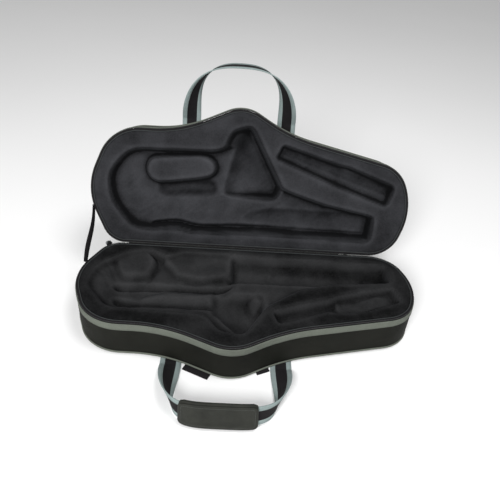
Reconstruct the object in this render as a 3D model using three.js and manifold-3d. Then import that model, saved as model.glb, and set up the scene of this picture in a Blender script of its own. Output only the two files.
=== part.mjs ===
// A shaped case for an alto saxophone, standing open on its back half.
// Frame: millimetres, +X to the right, +Y to the back, +Z up. The origin is the middle of the underside.
// The two halves mirror each other about the plane in which their rims meet, so each piece is
// described once, as it lies in the lower half, and mirrored for the lid.
import * as THREE from 'three';
import { mergeVertices } from 'three/addons/utils/BufferGeometryUtils.js';
import Module from 'manifold-3d';

const wasm = await Module();
wasm.setup();

// Driving dimensions
const RIM_HEIGHT = 77.5;                       // floor to the plane in which the rims meet
const OPEN_ANGLE = THREE.MathUtils.degToRad(111);
const HINGE_Y = 120;                           // hinge line, behind the middle of the underside
const GAP = 0.3;                               // clearance between touching pieces
const ARC_STEPS = 3;                           // a corner arc is cut into twice this many chords

// Plan of the case: corners of a polygon [x, y from the hinge line, fillet radius], anticlockwise.
const PLAN = [
  [-282, 0, 46],
  [-331, -106, 120],
  [-279, -231, 86],
  [-145, -232, 260],
  [-22, -287, 70],
  [72, -232, 330],
  [297, -181, 70],
  [330, -100, 130],
  [296, 0, 66],
];
const LEFT_CORNER = 0;                         // the corner whose arc the left zipper slider follows

// Layers of a half, as distances outside (+) or inside (-) the plan, and heights
const COVER = 1.4;
const PANEL_TOP = 6.5;
const PIPING_RADIUS = 2;
const PIPING_HEIGHT = 4.6;
const PIPING_OUT = -0.4;
const COVER_FOOT = 6.9;
const COVER_TOP = 74;
const TAPE_TOP = 77.2;
const TRIM_WIDTH = 14;
const TRIM_THICK = 0.8;
const FOAM_INSET = COVER + GAP;
const FOAM_FOOT = PANEL_TOP + GAP;
const LINING = 1.5;
const LINING_TOP = 77;
const LINING_INSET = 5.3;
const FOAM_TOP = LINING_TOP - LINING - GAP;

// Webbing
const WEBBING_WIDTH = 38;
const WEBBING_THICK = 2;
const LEG_X = [-130, 66];                      // middle of the left and right leg of each handle
const HANDLE_Y = -252;                         // hinge line of a handle, just outside the case
const ANCHOR_LENGTH = 60;
const FOLD_ROOM = 4.5;                         // from the handle's hinge line to its sewn ends
const FLOOR_GAP = 0.1;
const WEBBING_TOP = WEBBING_THICK + FLOOR_GAP;
const FRONT_ARCH = {
  reach: 120,
  squareness: 4,
  turn: THREE.MathUtils.degToRad(102),
  lift: 5.4,
};
const LID_ARCH = {
  reach: 108,
  squareness: 2.6,
  turn: THREE.MathUtils.degToRad(106),
  lift: 0,
};
const GRIP = { left: -101, right: 22, width: 48, thick: 9, flapWidth: 44, flapThick: 2 };

// Zipper sliders
const SLIDER = { length: 13, height: 9, thick: 4, out: 1.5 };
const BRIDGE = { span: 8, rise: 3.2, bar: 0.9, post: 1.4 };
const PULL = { width: 6, length: 26, thick: 1.2 };
const LEFT_SLIDER_TURN = THREE.MathUtils.degToRad(38);
const RIGHT_SLIDER_X = 205;
const RIGHT_SLIDER_TOP = RIM_HEIGHT - 4.4;
const HINGE_FABRIC = { left: -245, right: 190, reach: 16, thick: 0.8, out: 1.4 };

// Stay strap between the rims at the left end of the case
const STAY = { x: -313, y: -73, width: 12, thick: 1.2, clear: 5.4 };

const nylon = { color: 0x25241f, roughness: 0.85, metalness: 0 };
const plush = { color: 0x3a3a3c, roughness: 0.95, metalness: 0 };
const greyWeb = { color: 0x8d9893, roughness: 0.7, metalness: 0 };
const blackWeb = { color: 0x2b292b, roughness: 0.8, metalness: 0 };
const foam = { color: 0x55565a, roughness: 0.95, metalness: 0 };
const vinyl = { color: 0x3b3d38, roughness: 0.6, metalness: 0 };
const metal = { color: 0x6c6e70, roughness: 0.35, metalness: 0.9 };

// Outline helpers ---------------------------------------------------------------------------------

// Centre, radius and end angles of the fillet at each corner, for the outline moved out by offset.
function fillets(corners, offset = 0) {
  const points = corners.map(([x, y]) => new THREE.Vector2(x, y));
  const count = points.length;
  return corners.map(([, , radius], i) => {
    const corner = points[i];
    const toPrev = points[(i + count - 1) % count].clone().sub(corner).normalize();
    const toNext = points[(i + 1) % count].clone().sub(corner).normalize();
    const convex = toNext.cross(toPrev) > 0;
    const halfAngle = Math.acos(toPrev.dot(toNext)) / 2;
    const bisector = toPrev.clone().add(toNext).normalize();
    const centre = corner.clone().addScaledVector(bisector, radius / Math.sin(halfAngle));
    const reach = radius / Math.tan(halfAngle);
    const start = corner.clone().addScaledVector(toPrev, reach).sub(centre).angle();
    const end = corner.clone().addScaledVector(toNext, reach).sub(centre).angle();
    return { centre, radius: radius + (convex ? offset : -offset), start, end, clockwise: !convex };
  });
}

function outline(corners, offset = 0) {
  const shape = new THREE.Shape();
  for (const { centre, radius, start, end, clockwise } of fillets(corners, offset)) {
    shape.absarc(centre.x, centre.y, radius, start, end, clockwise);
  }
  return shape;
}

function loopPoints(corners, offset) {
  return outline(corners, offset).getPoints(ARC_STEPS);
}

// A solid with the plan of corners. The profile lists [distance outside the plan, height], from the
// lowest level to the highest.
function layered(corners, profile) {
  const loops = profile.map(([out]) => loopPoints(corners, out));
  const count = loops[0].length;
  const positions = profile.flatMap(([, height], level) =>
    loops[level].flatMap((point) => [point.x, point.y, height]));
  const top = (profile.length - 1) * count;
  const indices = [];
  for (let here = 0; here < top; here += count) {
    for (let i = 0; i < count; i += 1) {
      const next = (i + 1) % count;
      indices.push(here + i, here + next, here + count + next);
      indices.push(here + i, here + count + next, here + count + i);
    }
  }
  for (const [p, q, r] of THREE.ShapeUtils.triangulateShape(loops[0], [])) {
    indices.push(r, q, p);
    indices.push(top + p, top + q, top + r);
  }
  return indexed(positions, indices);
}

function prism(corners, offset, low, high) {
  return layered(corners, [[offset, low], [offset, high]]);
}

function indexed(positions, indices) {
  const geometry = new THREE.BufferGeometry();
  geometry.setAttribute('position', new THREE.Float32BufferAttribute(positions, 3));
  geometry.setIndex(indices);
  return geometry;
}

// A closed ring round the plan. The section is a polygon of [distance outside the plan, height],
// anticlockwise.
function ringAround(section) {
  const loops = section.map(([out]) => loopPoints(PLAN, out));
  const count = loops[0].length;
  const positions = section.flatMap(([, height], side) =>
    loops[side].flatMap((point) => [point.x, point.y, height]));
  const indices = [];
  section.forEach((_, side) => {
    const here = side * count;
    const above = ((side + 1) % section.length) * count;
    for (let i = 0; i < count; i += 1) {
      const next = (i + 1) % count;
      indices.push(here + i, here + next, above + next);
      indices.push(here + i, above + next, above + i);
    }
  });
  return indexed(positions, indices);
}

function band(inner, outer, low, high) {
  return ringAround([[inner, low], [outer, low], [outer, high], [inner, high]]);
}

// Solids ------------------------------------------------------------------------------------------

function solid(geometry) {
  const bare = geometry.clone();
  bare.deleteAttribute('normal');
  bare.deleteAttribute('uv');
  const welded = mergeVertices(bare);
  return new wasm.Manifold(new wasm.Mesh({
    numProp: 3,
    vertProperties: new Float32Array(welded.attributes.position.array),
    triVerts: new Uint32Array(welded.index.array),
  }));
}

function geometryOf(manifold) {
  const { vertProperties, triVerts } = manifold.getMesh();
  return indexed(Array.from(vertProperties), Array.from(triVerts));
}

function cut(geometry, cutters) {
  return geometryOf(cutters.reduce((body, cutter) => body.subtract(solid(cutter)), solid(geometry)));
}

function join(geometries) {
  return geometries.map(solid).reduce((body, more) => body.add(more));
}

// A flat strap bent along a curve. sideAt(t, tangent) is the direction of its width, and offset
// moves it along its own thickness.
function bentStrap(curve, sideAt, { width, thick, from = 0, to = 1, steps = 28, offset = 0 }) {
  const geometry = new THREE.BoxGeometry(1, width, thick, steps, 1, 1);
  const positions = geometry.attributes.position;
  for (let i = 0; i < positions.count; i += 1) {
    const t = THREE.MathUtils.lerp(from, to, positions.getX(i) + 0.5);
    const tangent = curve.getTangentAt(t);
    const side = sideAt(t, tangent);
    side.addScaledVector(tangent, -side.dot(tangent)).normalize();
    const normal = tangent.clone().cross(side);
    const point = curve.getPointAt(t)
      .addScaledVector(side, positions.getY(i))
      .addScaledVector(normal, positions.getZ(i) + offset);
    positions.setXYZ(i, point.x, point.y, point.z);
  }
  return geometry;
}

// Turns a piece of the lower half into the same piece of the closed lid, measured from the hinge.
function mirrored(geometry) {
  const flipped = geometry.clone();
  flipped.applyMatrix4(new THREE.Matrix4().makeScale(1, 1, -1));
  flipped.translate(0, 0, RIM_HEIGHT);
  const index = flipped.index
    ? Array.from(flipped.index.array)
    : Array.from({ length: flipped.attributes.position.count }, (_, i) => i);
  for (let i = 0; i < index.length; i += 3) {
    [index[i + 1], index[i + 2]] = [index[i + 2], index[i + 1]];
  }
  flipped.setIndex(index);
  return flipped;
}

function mesh(name, geometry, look) {
  const result = new THREE.Mesh(geometry, new THREE.MeshStandardMaterial(look));
  result.name = name;
  return result;
}

// Moulded interior --------------------------------------------------------------------------------
// Each pocket is a plan like PLAN's, with the height of its floor above the underside.

// The trough for the horn's body, shared by both halves: bow at the left, bell towards the front,
// neck end at the right.
function trough(rightEnd, floor) {
  return {
    floor,
    corners: [
      [-262, -30, 40],
      [-308, -116, 60],
      [-250, -196, 50],
      [-66, -196, 20],
      [-44, -246, 14],
      [-4, -254, 10],
      [60, -134, 60],
      [170, -94, 120],
      [rightEnd, -86, 6],
      [rightEnd, -28, 6],
    ],
  };
}

const bellPocket = {
  floor: 17,
  corners: [
    [-66, -196, 20],
    [-44, -240, 12],
    [-6, -248, 10],
    [52, -140, 20],
    [20, -100, 20],
    [-60, -110, 20],
  ],
};

const tubeChannel = (rightEnd) => ({
  floor: 32,
  corners: [
    [-160, -92, 12],
    [20, -100, 30],
    [170, -94, 120],
    [rightEnd - 4, -84, 6],
    [rightEnd - 4, -36, 6],
    [-20, -40, 30],
    [-160, -50, 12],
  ],
});

const bowWell = {
  floor: 30,
  corners: [
    [-250, -60, 20],
    [-290, -116, 50],
    [-246, -186, 40],
    [-100, -188, 20],
    [-100, -118, 20],
    [-190, -100, 20],
  ],
};

const baseNeckPocket = {
  floor: 47,
  corners: [
    [44, -192, 5],
    [60, -216, 5],
    [160, -176, 10],
    [232, -166, 10],
    [293, -136, 8],
    [281, -97, 8],
    [170, -130, 10],
  ],
};

const lidNeckPocket = {
  floor: 50,
  corners: [
    [43, -188, 5],
    [57, -216, 5],
    [180, -180, 6],
    [290, -144, 8],
    [276, -104, 8],
    [168, -138, 12],
  ],
};

// In the lid the bow well gives way to a raised pad that presses on the horn.
const lidBowWell = {
  floor: 42,
  corners: [
    [-250, -50, 20],
    [-288, -110, 34],
    [-246, -150, 20],
    [-222, -118, 20],
    [-70, -118, 12],
    [-70, -60, 12],
  ],
};

const pocketsOf = {
  base: [trough(284, 50), bellPocket, tubeChannel(284), bowWell, baseNeckPocket],
  lid: [trough(255, 53), bellPocket, tubeChannel(255), lidBowWell, lidNeckPocket],
};

// A clockwise pocket plan is turned round, so that growing it always makes it larger.
function anticlockwise(corners) {
  const area = THREE.ShapeUtils.area(corners.map(([x, y]) => new THREE.Vector2(x, y)));
  return area > 0 ? corners : corners.slice().reverse();
}

function pocketPrisms(pockets, grow, top) {
  return pockets.map(({ floor, corners }) =>
    prism(anticlockwise(corners), grow, floor - grow, top));
}

function lining(pockets) {
  const flange = prism(PLAN, -LINING_INSET, LINING_TOP - LINING, LINING_TOP);
  const skin = join([flange, ...pocketPrisms(pockets, LINING, LINING_TOP)]);
  const hollows = pocketPrisms(pockets, 0, LINING_TOP + 1);
  return cut(geometryOf(skin), hollows);
}

function foamBody(pockets) {
  const block = prism(PLAN, -FOAM_INSET, FOAM_FOOT, FOAM_TOP);
  return cut(block, pocketPrisms(pockets, LINING + GAP, FOAM_TOP + 1));
}

// Outer pieces of a half --------------------------------------------------------------------------

function webbingStrip(x, low, high) {
  const strip = new THREE.BoxGeometry(WEBBING_WIDTH, ANCHOR_LENGTH, high - low);
  return strip.translate(x, HANDLE_Y + ANCHOR_LENGTH / 2 + FOLD_ROOM, (low + high) / 2);
}

// Padded outer panel, with a sewn-down channel under each webbing end.
function outerPanel(channels) {
  const roundOver = 2;
  const inset = PIPING_RADIUS - PIPING_OUT + GAP;
  const slab = layered(PLAN, [
    [-inset - roundOver, 0],
    [-inset, roundOver],
    [-inset, PANEL_TOP],
  ]);
  return cut(slab, channels);
}

// The channel runs out through the front edge, so that the handle passes under it.
function channelFor(x) {
  const front = HANDLE_Y - 12;
  const back = HANDLE_Y + FOLD_ROOM + ANCHOR_LENGTH + GAP;
  const roof = WEBBING_TOP + GAP;
  const channel = new THREE.BoxGeometry(WEBBING_WIDTH + 2 * GAP, back - front, 2 * roof);
  return channel.translate(x, (front + back) / 2, 0);
}

function piping() {
  const sides = 6;
  const section = Array.from({ length: sides }, (_, i) => {
    const angle = ((i + 0.5) * 2 * Math.PI) / sides;
    const out = PIPING_OUT + PIPING_RADIUS * Math.cos(angle);
    return [out, PIPING_HEIGHT + PIPING_RADIUS * Math.sin(angle)];
  });
  return ringAround(section);
}

function rimBinding() {
  const outer = -COVER - GAP;
  const inner = GAP - LINING_INSET;
  const low = FOAM_TOP + GAP;
  const crown = 0.8;
  return ringAround([
    [inner, low],
    [outer, low],
    [outer - crown, TAPE_TOP],
    [inner + crown, TAPE_TOP],
  ]);
}

// The woven tape, with its row of teeth along the free edge.
function zipperTape() {
  const foot = COVER_TOP + GAP;
  const tapeOut = -0.6;
  const teethHeight = 1.5;
  return ringAround([
    [-COVER, foot],
    [tapeOut, foot],
    [tapeOut, TAPE_TOP - teethHeight],
    [0, TAPE_TOP - teethHeight],
    [0, TAPE_TOP],
    [-COVER, TAPE_TOP],
  ]);
}

// A webbing end showing from under the case, turned in plan about its middle.
function strapTab({ x, y, length, turn }, grow = 0) {
  const tab = new THREE.BoxGeometry(length + 2 * grow, TAB_WIDTH + 2 * grow, WEBBING_THICK + 4 * grow);
  return tab.rotateZ(turn).translate(x, y, FLOOR_GAP + WEBBING_THICK / 2);
}

const TAB_WIDTH = 24;
const strapTabs = {
  left: { x: -81, y: -261, length: 50, turn: -0.43 },
  right: { x: 30, y: -251, length: 24, turn: 0.43 },
};

function halfPieces(name, panelName, pockets, extraChannels) {
  const channels = [...LEG_X.map(channelFor), ...extraChannels];
  return [
    mesh(`${name}_${panelName}`, outerPanel(channels), nylon),
    mesh(`${name}_side_cover`, band(-COVER, 0, COVER_FOOT, COVER_TOP), nylon),
    mesh(`${name}_trim_band`, band(GAP, GAP + TRIM_THICK, COVER_TOP - TRIM_WIDTH, COVER_TOP), greyWeb),
    mesh(`${name}_piping`, piping(), greyWeb),
    mesh(`${name}_foam_body`, foamBody(pockets), foam),
    mesh(`${name}_lining`, lining(pockets), plush),
    mesh(`${name}_rim_binding`, rimBinding(), blackWeb),
    mesh(`${name}_zipper_tape`, zipperTape(), blackWeb),
    mesh(`${name}_handle_anchor_left`, webbingStrip(LEG_X[0], FLOOR_GAP, WEBBING_TOP), blackWeb),
    mesh(`${name}_handle_anchor_right`, webbingStrip(LEG_X[1], FLOOR_GAP, WEBBING_TOP), blackWeb),
  ];
}

// Handles -----------------------------------------------------------------------------------------

// The middle line of a handle's webbing and, along it, the direction of its outer edge. A handle is a
// superellipse arch between its legs. It lies flat at the hinge line, then turns evenly about its own
// length, with its inner edge staying on the ground, so that at the top of the arch it stands at the
// angle turn from lying flat. squareness is the superellipse's power, and lift is how far the top of
// the arch is raised off the ground.
function handlePath({ reach, squareness, turn, lift }) {
  const [left, right] = LEG_X;
  const middle = (left + right) / 2;
  const halfSpan = (right - left) / 2;
  const legZ = FLOOR_GAP + WEBBING_THICK / 2;
  const start = HANDLE_Y - 2 * GAP;
  const length = reach - 2 * GAP;
  const riseAt = (y) => THREE.MathUtils.clamp((start - y) / length, 0, 1);
  const points = [];
  const steps = 32;
  for (let i = 0; i <= steps; i += 1) {
    const angle = (Math.PI * i) / steps;
    const across = -Math.sign(Math.cos(angle)) * Math.abs(Math.cos(angle)) ** (2 / squareness);
    const y = start - length * Math.sin(angle) ** (2 / squareness);
    const rise = riseAt(y);
    const edgeLift = (WEBBING_WIDTH / 2) * Math.sin(Math.min(rise * turn, Math.PI / 2));
    points.push(new THREE.Vector3(middle + halfSpan * across, y, legZ + edgeLift + rise * lift));
  }
  const curve = new THREE.CatmullRomCurve3(points, false, 'centripetal');
  const side = (t, tangent) => {
    const angle = riseAt(curve.getPointAt(t).y) * turn;
    const outward = new THREE.Vector3(tangent.y, -tangent.x, 0).normalize();
    return outward.multiplyScalar(Math.cos(angle)).add(new THREE.Vector3(0, 0, Math.sin(angle)));
  };
  return { curve, side };
}

const strapSize = { width: WEBBING_WIDTH, thick: WEBBING_THICK, steps: 64 };
const frontPath = handlePath(FRONT_ARCH);
const lidPath = handlePath(LID_ARCH);

// Fraction along the curve's arch at which it crosses the given x.
function fractionAtX(curve, x) {
  const steps = 400;
  for (let i = 0; i < steps; i += 1) {
    const t = 0.25 + (0.5 * i) / steps;
    if (curve.getPointAt(t).x >= x) {
      return t;
    }
  }
  return 0.75;
}

const gripSpan = {
  from: fractionAtX(frontPath.curve, GRIP.left),
  to: fractionAtX(frontPath.curve, GRIP.right),
  steps: 24,
};

function gripSleeve() {
  const outer = bentStrap(frontPath.curve, frontPath.side, {
    width: GRIP.width,
    thick: GRIP.thick,
    ...gripSpan,
  });
  const bore = bentStrap(frontPath.curve, frontPath.side, {
    width: WEBBING_WIDTH + 4 * GAP,
    thick: WEBBING_THICK + 4 * GAP,
    from: gripSpan.from - 0.02,
    to: gripSpan.to + 0.02,
  });
  return cut(outer, [bore]);
}

function gripFlap() {
  return bentStrap(frontPath.curve, frontPath.side, {
    width: GRIP.flapWidth,
    thick: GRIP.flapThick,
    offset: (GRIP.thick + GRIP.flapThick) / 2 + 2 * GAP,
    ...gripSpan,
  });
}

// Pieces that join the halves ---------------------------------------------------------------------

// A point of the closed lid, given from the hinge line, moved to where it is with the lid open.
function openPoint(y, z) {
  return new THREE.Vector2(y, z).rotateAround(new THREE.Vector2(0, 0), -OPEN_ANGLE);
}

function hingeFabric() {
  const { left, right, reach, thick, out } = HINGE_FABRIC;
  const fold = (distance) => new THREE.Vector2(distance, -distance * Math.tan(OPEN_ANGLE / 2));
  const section = new THREE.Shape([
    new THREE.Vector2(out, -reach),
    new THREE.Vector2(out + thick, -reach),
    fold(out + thick),
    openPoint(out + thick, reach),
    openPoint(out, reach),
    fold(out),
  ]);
  const geometry = new THREE.ExtrudeGeometry(section, { depth: right - left, bevelEnabled: false });
  // The section's two directions become Y and Z, and its depth becomes X.
  const alongHinge = new THREE.Matrix4().makeBasis(
    new THREE.Vector3(0, 1, 0),
    new THREE.Vector3(0, 0, 1),
    new THREE.Vector3(1, 0, 0),
  );
  return geometry.applyMatrix4(alongHinge).translate(left, 0, RIM_HEIGHT);
}

function stayStrap() {
  const { x, y, width, thick, clear } = STAY;
  const hinge = new THREE.Vector3(x, 0, RIM_HEIGHT);
  const onBaseRim = new THREE.Vector3(0, y, clear).add(hinge);
  const lidEnd = openPoint(y, -clear);
  const onLidRim = new THREE.Vector3(0, lidEnd.x, lidEnd.y).add(hinge);
  const side = (t, tangent) => new THREE.Vector3(0, -tangent.z, tangent.y);
  return bentStrap(new THREE.LineCurve3(onBaseRim, onLidRim), side, { width, thick, steps: 4 });
}

// Zipper sliders ----------------------------------------------------------------------------------
// Drawn with travel along X, outwards along +Y and the top at z = 0.

const bridgeY = SLIDER.thick + BRIDGE.rise;
const bridgeZ = -SLIDER.height / 2;

function rodAlongX(radius, length) {
  const rod = new THREE.CylinderGeometry(radius, radius, length, 12);
  return rod.rotateZ(Math.PI / 2).translate(0, bridgeY, bridgeZ);
}

function zipperSlider() {
  const { length, height, thick } = SLIDER;
  const shoulder = 2.5;
  const face = new THREE.Shape([
    new THREE.Vector2(-length / 2, -height / 2),
    new THREE.Vector2(-length / 2 + shoulder, -height),
    new THREE.Vector2(length / 2 - shoulder, -height),
    new THREE.Vector2(length / 2, -height / 2),
    new THREE.Vector2(length / 2 - shoulder, 0),
    new THREE.Vector2(-length / 2 + shoulder, 0),
  ]);
  const body = new THREE.ExtrudeGeometry(face, { depth: thick, bevelEnabled: false });
  body.rotateX(Math.PI / 2).translate(0, thick, 0);
  const posts = [-1, 1].map((end) => {
    const post = new THREE.BoxGeometry(BRIDGE.post, BRIDGE.rise + BRIDGE.bar, 2 * BRIDGE.bar);
    return post.translate((end * BRIDGE.span) / 2, thick + BRIDGE.rise / 2, bridgeZ);
  });
  return geometryOf(join([body, ...posts, rodAlongX(BRIDGE.bar, BRIDGE.span)]));
}

// A tab whose rolled top turns on the slider's bridge.
function zipperPull() {
  const plate = new THREE.BoxGeometry(PULL.width, PULL.thick, PULL.length);
  plate.translate(0, bridgeY, bridgeZ - PULL.length / 2 - BRIDGE.bar - GAP);
  const rollLength = BRIDGE.span - BRIDGE.post - 2 * GAP;
  const roll = rodAlongX(BRIDGE.bar + GAP + PULL.thick, rollLength);
  const eye = rodAlongX(BRIDGE.bar + GAP, rollLength + 2);
  return cut(geometryOf(join([plate, roll])), [eye]);
}

function sliderWithPull(side, x, y, z, facing) {
  const group = new THREE.Group();
  group.position.set(x, y, z);
  group.rotation.z = facing;
  group.add(mesh(`zipper_slider_${side}`, zipperSlider(), metal));
  group.add(mesh(`zipper_pull_${side}`, zipperPull(), metal));
  return group;
}

// The left slider stands in the notch between the halves at the corner, where the rims leave the
// hinge line; the right one hangs behind the straight back.
function leftSlider() {
  const { centre, radius, start } = fillets(PLAN)[LEFT_CORNER];
  const angle = start + LEFT_SLIDER_TURN;
  const distance = radius + SLIDER.out;
  const x = centre.x + distance * Math.cos(angle);
  const y = centre.y + distance * Math.sin(angle);
  return sliderWithPull('left', x, y, RIM_HEIGHT + SLIDER.height / 2, angle - Math.PI / 2);
}

function rightSlider() {
  return sliderWithPull('right', RIGHT_SLIDER_X, SLIDER.out, RIGHT_SLIDER_TOP, 0);
}

// The whole case ----------------------------------------------------------------------------------

function baseHalf() {
  const half = new THREE.Group();
  half.position.set(0, HINGE_Y, 0);
  const tabChannels = Object.values(strapTabs).map((tab) => strapTab(tab, GAP));
  const handle = bentStrap(frontPath.curve, frontPath.side, strapSize);
  half.add(...halfPieces('base', 'bottom_panel', pocketsOf.base, tabChannels));
  half.add(mesh('strap_tab_left', strapTab(strapTabs.left), blackWeb));
  half.add(mesh('strap_tab_right', strapTab(strapTabs.right), blackWeb));
  half.add(mesh('front_handle', handle, blackWeb));
  half.add(mesh('grip_sleeve', gripSleeve(), vinyl));
  half.add(mesh('grip_flap', gripFlap(), vinyl));
  half.add(mesh('hinge_fabric', hingeFabric(), nylon));
  half.add(mesh('stay_strap', stayStrap(), blackWeb));
  half.add(leftSlider(), rightSlider());
  return half;
}

function lidHalf() {
  const half = new THREE.Group();
  half.position.set(0, HINGE_Y, RIM_HEIGHT);
  half.rotation.x = -OPEN_ANGLE;
  const handle = bentStrap(lidPath.curve, lidPath.side, strapSize);
  half.add(...halfPieces('lid', 'top_panel', pocketsOf.lid, []));
  half.add(mesh('lid_handle', handle, blackWeb));
  for (const piece of half.children) {
    piece.geometry = mirrored(piece.geometry);
  }
  return half;
}

const shapedCase = new THREE.Group();
shapedCase.add(baseHalf(), lidHalf());
export default shapedCase;
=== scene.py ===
"""The looks of a shaped alto saxophone case, standing open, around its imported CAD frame.

A half is drawn as it lies in the base: millimetres, x to the right, y measured from the hinge line
(negative to the front) and z up from the underside. to_row() puts it in the object's frame, in metres,
and turns the lid's pieces over into the open lid.
"""
import math

import bmesh
import bpy
import numpy as np
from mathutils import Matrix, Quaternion, Vector


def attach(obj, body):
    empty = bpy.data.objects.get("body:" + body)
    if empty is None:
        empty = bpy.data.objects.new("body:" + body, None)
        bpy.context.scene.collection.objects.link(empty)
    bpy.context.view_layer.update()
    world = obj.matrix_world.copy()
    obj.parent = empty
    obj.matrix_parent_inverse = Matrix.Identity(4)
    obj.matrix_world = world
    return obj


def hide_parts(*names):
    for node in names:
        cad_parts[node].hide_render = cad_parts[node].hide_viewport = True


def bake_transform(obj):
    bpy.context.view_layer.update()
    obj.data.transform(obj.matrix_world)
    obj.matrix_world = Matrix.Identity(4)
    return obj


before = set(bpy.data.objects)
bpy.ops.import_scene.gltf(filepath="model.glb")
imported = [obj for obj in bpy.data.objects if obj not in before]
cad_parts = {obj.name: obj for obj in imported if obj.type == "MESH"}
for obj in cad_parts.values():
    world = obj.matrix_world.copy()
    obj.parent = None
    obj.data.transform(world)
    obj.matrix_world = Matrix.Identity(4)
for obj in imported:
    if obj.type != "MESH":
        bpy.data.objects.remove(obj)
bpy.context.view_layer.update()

# ---- Driving dimensions, the same as the CAD's ----

MM = 0.001
RIM = 77.5                       # underside to the plane in which the rims meet
HINGE_Y = 120.0
OPEN_ANGLE = math.radians(111)
OPEN_SINE = math.sin(OPEN_ANGLE)
OPEN_COSINE = math.cos(OPEN_ANGLE)
PLAN = [
    (-282, 0, 46), (-331, -106, 120), (-279, -231, 86), (-145, -232, 260), (-22, -287, 70),
    (72, -232, 330), (297, -181, 70), (330, -100, 130), (296, 0, 66),
]
COVER = 1.4
COVER_FOOT = 6.9
COVER_TOP = 74.0
PANEL_TOP = 6.5
PANEL_INSET = 2.7
PIPING_RADIUS = 2.0
TRIM_WIDTH = 14.0
TRIM_THICK = 0.8
LINING = 1.5
LINING_TOP = 76.8
LINING_INSET = 5.6

LEG_X = (-130.0, 66.0)
HANDLE_Y = -252.0
ANCHOR_LENGTH = 62.0
FRONT_ARCH = {"reach": 120.0, "squareness": 4.0, "turn": math.radians(102), "lift": 5.4}
LID_ARCH = {"reach": 108.0, "squareness": 2.6, "turn": math.radians(106), "lift": 0.0}
WEBBING_WIDTH = 38.0
WEBBING_EDGE = 9.0               # width of the grey edge on each side of the webbing
WEBBING_THICK = 2.0
LEG_Z = 1.1                      # middle of the webbing's thickness where it lies flat
GRIP_LEFT = -101.0
GRIP_RIGHT = 22.0
GRIP_WIDTH = 48.0
GRIP_THICK = 9.0
TAB_WIDTH = 24.0

# Further sizes of the soft pieces
STAY_PLACE = (-314.0, -73.0)     # where the stay strap meets both rims
STAY_WIDTH = 12.0
HINGE_CLOTH_ENDS = (-245.0, 190.0)
HINGE_CLOTH_REACH = 16.0         # how far the hinge cloth runs down each half
FLAP_WIDTH = 45.2
FLAP_CORNER = 7.0
FLAP_SEAM = 4.5                  # from the flap's edge to its stitches

# Sections as (outwards, height): rim binding, zipper tape, and one tooth with its half width
BINDING_SECTION = [(-4.9, 75.4), (-1.8, 75.4), (-1.8, 76.6), (-2.5, 77.2), (-4.2, 77.2), (-4.9, 76.7)]
TAPE_SECTION = [(-1.4, 74.3), (-0.5, 74.3), (-0.5, 75.8), (-0.75, 76.1), (-1.4, 76.1)]
TOOTH_PROFILE = [
    (-1.5, 76.0, 0.35), (-1.5, 77.0, 0.55), (-0.9, 77.25, 0.62), (-0.2, 77.0, 0.75), (0.0, 76.2, 0.6),
]
TOOTH_PITCH = 2.1

# How finely things are drawn
RIM_SPACING = 3.2
LINING_CELL = 2.4
CORE_CELL = 7.0
PANEL_CELL = 5.0
STITCH_RADIUS = 0.35
MOST_PUFF = 1.2 * MM             # furthest that the simulation may move a point of the grip's cover

# How much painted shade the plush gets on walls, from depth and at the rim, tuned for each half
LINING_SHADES = {"base": (0.05, -0.004, 0.36), "lid": (0.34, -0.004, 0.12)}


# ---- Camera, light and floor ----

def add_camera():
    """The photograph's view: slightly from the left, from above, with the camera a little tilted."""
    azimuth, elevation, roll = (math.radians(v) for v in (-2.5, 36.6, 4.69))
    back = Vector((
        math.sin(azimuth) * math.cos(elevation),
        -math.cos(azimuth) * math.cos(elevation),
        math.sin(elevation),
    ))
    data = bpy.data.cameras.new("camera")
    data.sensor_width = 36.0
    data.lens = 38.556
    camera = bpy.data.objects.new("camera", data)
    camera.location = (-0.03386, -0.76925, 0.73599)
    camera.rotation_mode = "QUATERNION"
    tilt = Quaternion((0, 0, 1), roll)
    camera.rotation_quaternion = (-back).to_track_quat("-Z", "Y") @ tilt
    bpy.context.collection.objects.link(camera)
    bpy.context.scene.camera = camera


def add_area_light(name, place, target, size, power):
    data = bpy.data.lights.new(name, "AREA")
    data.shape = "DISK"
    data.size = size
    data.energy = power
    light = bpy.data.objects.new(name, data)
    light.location = place
    light.rotation_euler = (Vector(target) - Vector(place)).to_track_quat("-Z", "Y").to_euler()
    bpy.context.collection.objects.link(light)


def add_studio():
    world = bpy.data.worlds.new("studio")
    bpy.context.scene.world = world
    world.use_nodes = True
    sky = world.node_tree.nodes["Background"]
    sky.inputs["Color"].default_value = (1.0, 1.0, 1.0, 1.0)
    sky.inputs["Strength"].default_value = 0.42
    bpy.context.scene.view_settings.view_transform = "Standard"
    middle = (0.0, 0.1, 0.1)
    add_area_light("key_light", (-0.7, -2.0, 1.5), middle, 0.9, 58.0)
    add_area_light("top_light", (0.6, -0.2, 2.2), middle, 1.0, 20.0)
    mesh = bpy.data.meshes.new("floor")
    reach = 6.0
    corners = [(-reach, -reach, 0), (reach, -reach, 0), (reach, reach, 0), (-reach, reach, 0)]
    mesh.from_pydata(corners, [], [(0, 1, 2, 3)])
    floor = bpy.data.objects.new("floor", mesh)
    bpy.context.collection.objects.link(floor)
    floor.data.materials.append(floor_material())


# ---- Materials ----

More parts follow.
